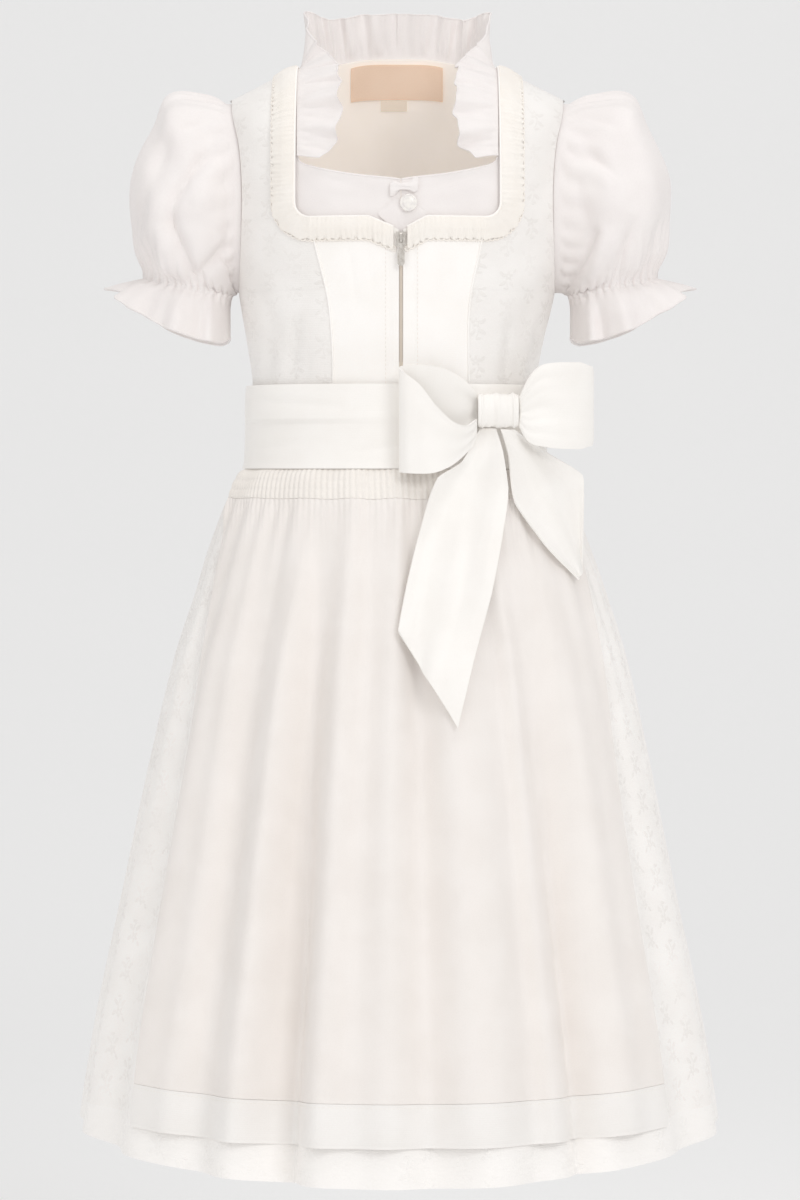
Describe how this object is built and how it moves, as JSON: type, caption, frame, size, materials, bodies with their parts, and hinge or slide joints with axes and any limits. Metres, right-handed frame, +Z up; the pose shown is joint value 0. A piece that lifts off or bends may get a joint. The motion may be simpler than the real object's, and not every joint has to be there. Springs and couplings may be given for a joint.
{
  "type": "dirndl",
  "caption": "European folk dress: fitted bodice with a square trimmed neckline and front zip, puff-sleeved blouse with a frilled collar, gathered skirt, apron and wide sash tied in a bow",
  "frame": {"origin": "midway between the two shoulders, at the height of the shoulder straps", "axes": "+X toward the viewer's right seen from the front, -Y toward the front, +Z up"},
  "size_m": [0.4519, 0.4116, 0.8053],
  "materials": {
    "satin": "smooth satin, soft sheen",
    "jacquard": "ivory jacquard with a small woven leaf sprig",
    "sheer": "fine semi-sheer apron cloth",
    "batiste": "white cotton batiste",
    "braid": "cream braid with a looped edge",
    "woven": "peach woven label, bare",
    "pearl": "pearl gloss",
    "metal": "polished zip metal"
  },
  "bodies": {
    "dress": {"bodice_front_side_left": "jacquard", "bodice_front_side_right": "jacquard", "bodice_back_side_left": "jacquard", "bodice_back_side_right": "jacquard", "bodice_back_centre": "jacquard", "skirt_front": "jacquard", "skirt_back": "jacquard", "bodice_front_centre_left": "satin", "bodice_front_centre_right": "satin", "apron_hem_band": "satin", "sash_band": "satin", "bow_knot": "satin", "bow_loop_left": "satin", "bow_loop_right": "satin", "bow_tail_left": "satin", "bow_tail_right": "satin", "apron_panel": "sheer", "apron_heading": "sheer", "blouse_front_left": "batiste", "blouse_front_right": "batiste", "blouse_back": "batiste", "collar_frill": "batiste", "sleeve_left": "batiste", "sleeve_right": "batiste", "blouse_tab": "batiste", "blouse_bow": "batiste", "neck_trim": "braid", "neck_label": "woven", "size_tag": "woven", "blouse_button": "pearl", "zip_chain": "metal", "zip_slider": "metal"},
    "pull_tab": {"zip_pull": "metal"}
  },
  "joints": [
    {"name": "pull_swing", "type": "hinge", "parent": "dress", "child": "pull_tab", "pos_m": [0, -0.09055, -0.1146], "axis": [-1, 0, 0], "range_deg": [0, 160]}
  ]
}
